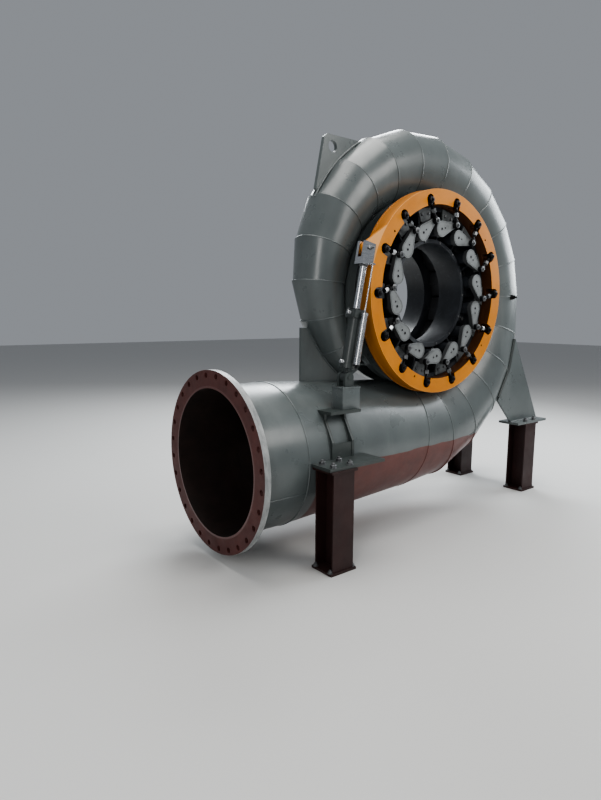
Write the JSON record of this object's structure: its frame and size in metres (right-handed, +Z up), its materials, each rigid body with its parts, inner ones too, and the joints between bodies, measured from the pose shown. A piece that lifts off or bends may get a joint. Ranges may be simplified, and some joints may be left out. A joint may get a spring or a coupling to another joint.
{
  "type": "hydroelectric turbine with spiral case",
  "caption": "Horizontal-shaft water turbine: welded spiral case with flanged inlet on beam stands, head cover, orange operating ring with links and guide vane levers, and an upright servomotor.",
  "frame": {"origin": "centre of the shaft bore at the head cover's front rim, on the turbine axis", "axes": "-Y along the shaft towards the gear side, +X to the right seen from there, +Z up"},
  "size_m": [3.399, 1.407, 3.0771],
  "materials": {
    "case_paint": "satin grey-green paint",
    "red_primer": "matt red-brown primer with a bare rim",
    "stand_paint": "matt dark red-brown primer",
    "dark_casting": "dark satin paint on machined casting",
    "dark_paint": "satin dark grey paint",
    "polished_rod": "polished",
    "plain_aluminium": "brushed",
    "orange_paint": "satin orange paint",
    "grey_steel": "machined grey",
    "black_steel": "blackened steel"
  },
  "bodies": {
    "case": {"inlet_flange": "red_primer", "inlet_pipe": "case_paint", "case_bottom": "case_paint", "case_right": "case_paint", "case_top": "case_paint", "case_left": "case_paint", "nose_web": "case_paint", "stay_ring": "case_paint", "head_cover": "dark_casting", "rear_cover": "dark_casting", "lifting_lug": "case_paint", "right_foot_front": "case_paint", "right_foot_rear": "case_paint", "left_foot_front": "case_paint", "left_foot_rear": "case_paint", "stand_front_left": "stand_paint", "stand_rear_left": "stand_paint", "stand_front_right": "stand_paint", "stand_rear_right": "stand_paint", "servo_block": "case_paint"},
    "ring": {"operating_ring": "orange_paint"},
    "servo_barrel": {"servo_barrel": "dark_paint", "sensor_tube": "plain_aluminium"},
    "servo_rod": {"servo_rod": "polished_rod", "sensor_rod": "polished_rod"},
    "vane_01": {"guide_vane_01": "grey_steel"},
    "link_01": {"link_01": "black_steel"},
    "vane_02": {"guide_vane_02": "grey_steel"},
    "link_02": {"link_02": "black_steel"},
    "vane_03": {"guide_vane_03": "grey_steel"},
    "link_03": {"link_03": "black_steel"},
    "vane_04": {"guide_vane_04": "grey_steel"},
    "link_04": {"link_04": "black_steel"},
    "vane_05": {"guide_vane_05": "grey_steel"},
    "link_05": {"link_05": "black_steel"},
    "vane_06": {"guide_vane_06": "grey_steel"},
    "link_06": {"link_06": "black_steel"},
    "vane_07": {"guide_vane_07": "grey_steel"},
    "link_07": {"link_07": "black_steel"},
    "vane_08": {"guide_vane_08": "grey_steel"},
    "link_08": {"link_08": "black_steel"},
    "vane_09": {"guide_vane_09": "grey_steel"},
    "link_09": {"link_09": "black_steel"},
    "vane_10": {"guide_vane_10": "grey_steel"},
    "link_10": {"link_10": "black_steel"},
    "vane_11": {"guide_vane_11": "grey_steel"},
    "link_11": {"link_11": "black_steel"},
    "vane_12": {"guide_vane_12": "grey_steel"},
    "link_12": {"link_12": "black_steel"},
    "vane_13": {"guide_vane_13": "grey_steel"},
    "link_13": {"link_13": "black_steel"},
    "vane_14": {"guide_vane_14": "grey_steel"},
    "link_14": {"link_14": "black_steel"}
  },
  "joints": [
    {"name": "ring_turn", "type": "hinge", "parent": "case", "child": "ring", "pos_m": [0, -0.0475, 0], "axis": [0, -1, 0], "range_deg": [0, 7.5]},
    {"name": "vane_01_turn", "type": "hinge", "parent": "case", "child": "vane_01", "pos_m": [0.00252, 0.068, 0.48199], "axis": [0, -1, 0], "range_deg": [0, 14.12]},
    {"name": "link_01_turn", "type": "hinge", "parent": "ring", "child": "link_01", "pos_m": [0.13874, -0.105, 0.67591], "axis": [0, -1, 0], "range_deg": [0, 21.63]},
    {"name": "vane_02_turn", "type": "hinge", "parent": "case", "child": "vane_02", "pos_m": [0.2114, 0.068, 0.43317], "axis": [0, -1, 0], "range_deg": [0, 14.12]},
    {"name": "link_02_turn", "type": "hinge", "parent": "ring", "child": "link_02", "pos_m": [0.41827, -0.105, 0.54877], "axis": [0, -1, 0], "range_deg": [0, 21.63]},
    {"name": "vane_03_turn", "type": "hinge", "parent": "case", "child": "vane_03", "pos_m": [0.37841, 0.068, 0.29855], "axis": [0, -1, 0], "range_deg": [0, 14.12]},
    {"name": "link_03_turn", "type": "hinge", "parent": "ring", "child": "link_03", "pos_m": [0.61495, -0.105, 0.31295], "axis": [0, -1, 0], "range_deg": [0, 21.63]},
    {"name": "vane_04_turn", "type": "hinge", "parent": "case", "child": "vane_04", "pos_m": [0.47047, 0.068, 0.10479], "axis": [0, -1, 0], "range_deg": [0, 14.12]},
    {"name": "link_04_turn", "type": "hinge", "parent": "ring", "child": "link_04", "pos_m": [0.68983, -0.105, 0.01514], "axis": [0, -1, 0], "range_deg": [0, 21.63]},
    {"name": "vane_05_turn", "type": "hinge", "parent": "case", "child": "vane_05", "pos_m": [0.46935, 0.068, -0.10971], "axis": [0, -1, 0], "range_deg": [0, 14.12]},
    {"name": "link_05_turn", "type": "hinge", "parent": "ring", "child": "link_05", "pos_m": [0.62809, -0.105, -0.28567], "axis": [0, -1, 0], "range_deg": [0, 21.63]},
    {"name": "vane_06_turn", "type": "hinge", "parent": "case", "child": "vane_06", "pos_m": [0.37526, 0.068, -0.30249], "axis": [0, -1, 0], "range_deg": [0, 14.12]},
    {"name": "link_06_turn", "type": "hinge", "parent": "ring", "child": "link_06", "pos_m": [0.44194, -0.105, -0.5299], "axis": [0, -1, 0], "range_deg": [0, 21.63]},
    {"name": "vane_07_turn", "type": "hinge", "parent": "case", "child": "vane_07", "pos_m": [0.20686, 0.068, -0.43536], "axis": [0, -1, 0], "range_deg": [0, 14.12]},
    {"name": "link_07_turn", "type": "hinge", "parent": "ring", "child": "link_07", "pos_m": [0.16826, -0.105, -0.66917], "axis": [0, -1, 0], "range_deg": [0, 21.63]},
    {"name": "vane_08_turn", "type": "hinge", "parent": "case", "child": "vane_08", "pos_m": [-0.00252, 0.068, -0.48199], "axis": [0, -1, 0], "range_deg": [0, 14.12]},
    {"name": "link_08_turn", "type": "hinge", "parent": "ring", "child": "link_08", "pos_m": [-0.13874, -0.105, -0.67591], "axis": [0, -1, 0], "range_deg": [0, 21.63]},
    {"name": "vane_09_turn", "type": "hinge", "parent": "case", "child": "vane_09", "pos_m": [-0.2114, 0.068, -0.43317], "axis": [0, -1, 0], "range_deg": [0, 14.12]},
    {"name": "link_09_turn", "type": "hinge", "parent": "ring", "child": "link_09", "pos_m": [-0.41827, -0.105, -0.54877], "axis": [0, -1, 0], "range_deg": [0, 21.63]},
    {"name": "vane_10_turn", "type": "hinge", "parent": "case", "child": "vane_10", "pos_m": [-0.37841, 0.068, -0.29855], "axis": [0, -1, 0], "range_deg": [0, 14.12]},
    {"name": "link_10_turn", "type": "hinge", "parent": "ring", "child": "link_10", "pos_m": [-0.61495, -0.105, -0.31295], "axis": [0, -1, 0], "range_deg": [0, 21.63]},
    {"name": "vane_11_turn", "type": "hinge", "parent": "case", "child": "vane_11", "pos_m": [-0.47047, 0.068, -0.10479], "axis": [0, -1, 0], "range_deg": [0, 14.12]},
    {"name": "link_11_turn", "type": "hinge", "parent": "ring", "child": "link_11", "pos_m": [-0.68983, -0.105, -0.01514], "axis": [0, -1, 0], "range_deg": [0, 21.63]},
    {"name": "vane_12_turn", "type": "hinge", "parent": "case", "child": "vane_12", "pos_m": [-0.46935, 0.068, 0.10971], "axis": [0, -1, 0], "range_deg": [0, 14.12]},
    {"name": "link_12_turn", "type": "hinge", "parent": "ring", "child": "link_12", "pos_m": [-0.62809, -0.105, 0.28567], "axis": [0, -1, 0], "range_deg": [0, 21.63]},
    {"name": "vane_13_turn", "type": "hinge", "parent": "case", "child": "vane_13", "pos_m": [-0.37526, 0.068, 0.30249], "axis": [0, -1, 0], "range_deg": [0, 14.12]},
    {"name": "link_13_turn", "type": "hinge", "parent": "ring", "child": "link_13", "pos_m": [-0.44194, -0.105, 0.5299], "axis": [0, -1, 0], "range_deg": [0, 21.63]},
    {"name": "vane_14_turn", "type": "hinge", "parent": "case", "child": "vane_14", "pos_m": [-0.20686, 0.068, 0.43536], "axis": [0, -1, 0], "range_deg": [0, 14.12]},
    {"name": "link_14_turn", "type": "hinge", "parent": "ring", "child": "link_14", "pos_m": [-0.16826, -0.105, 0.66917], "axis": [0, -1, 0], "range_deg": [0, 21.63]},
    {"name": "servo_tilt", "type": "hinge", "parent": "case", "child": "servo_barrel", "pos_m": [-0.97875, -0.0975, -0.58632], "axis": [0, -1, 0], "range_deg": [0, 0.77]},
    {"name": "servo_stroke", "type": "slide", "parent": "servo_barrel", "child": "servo_rod", "axis": [-0.1959, 0, -0.9806], "range_m": [0, 0.1122]}
  ],
  "couplings": [
    {"joint": "vane_01_turn", "follows": "ring_turn", "ratio": 1.87},
    {"joint": "link_01_turn", "follows": "ring_turn", "ratio": 2.87},
    {"joint": "vane_02_turn", "follows": "ring_turn", "ratio": 1.87},
    {"joint": "link_02_turn", "follows": "ring_turn", "ratio": 2.87},
    {"joint": "vane_03_turn", "follows": "ring_turn", "ratio": 1.87},
    {"joint": "link_03_turn", "follows": "ring_turn", "ratio": 2.87},
    {"joint": "vane_04_turn", "follows": "ring_turn", "ratio": 1.87},
    {"joint": "link_04_turn", "follows": "ring_turn", "ratio": 2.87},
    {"joint": "vane_05_turn", "follows": "ring_turn", "ratio": 1.87},
    {"joint": "link_05_turn", "follows": "ring_turn", "ratio": 2.87},
    {"joint": "vane_06_turn", "follows": "ring_turn", "ratio": 1.87},
    {"joint": "link_06_turn", "follows": "ring_turn", "ratio": 2.87},
    {"joint": "vane_07_turn", "follows": "ring_turn", "ratio": 1.87},
    {"joint": "link_07_turn", "follows": "ring_turn", "ratio": 2.87},
    {"joint": "vane_08_turn", "follows": "ring_turn", "ratio": 1.87},
    {"joint": "link_08_turn", "follows": "ring_turn", "ratio": 2.87},
    {"joint": "vane_09_turn", "follows": "ring_turn", "ratio": 1.87},
    {"joint": "link_09_turn", "follows": "ring_turn", "ratio": 2.87},
    {"joint": "vane_10_turn", "follows": "ring_turn", "ratio": 1.87},
    {"joint": "link_10_turn", "follows": "ring_turn", "ratio": 2.87},
    {"joint": "vane_11_turn", "follows": "ring_turn", "ratio": 1.87},
    {"joint": "link_11_turn", "follows": "ring_turn", "ratio": 2.87},
    {"joint": "vane_12_turn", "follows": "ring_turn", "ratio": 1.87},
    {"joint": "link_12_turn", "follows": "ring_turn", "ratio": 2.87},
    {"joint": "vane_13_turn", "follows": "ring_turn", "ratio": 1.87},
    {"joint": "link_13_turn", "follows": "ring_turn", "ratio": 2.87},
    {"joint": "vane_14_turn", "follows": "ring_turn", "ratio": 1.87},
    {"joint": "link_14_turn", "follows": "ring_turn", "ratio": 2.87},
    {"joint": "servo_tilt", "follows": "ring_turn", "ratio": 0.09},
    {"joint": "servo_stroke", "follows": "ring_turn", "m_per_rad": 0.8492}
  ]
}
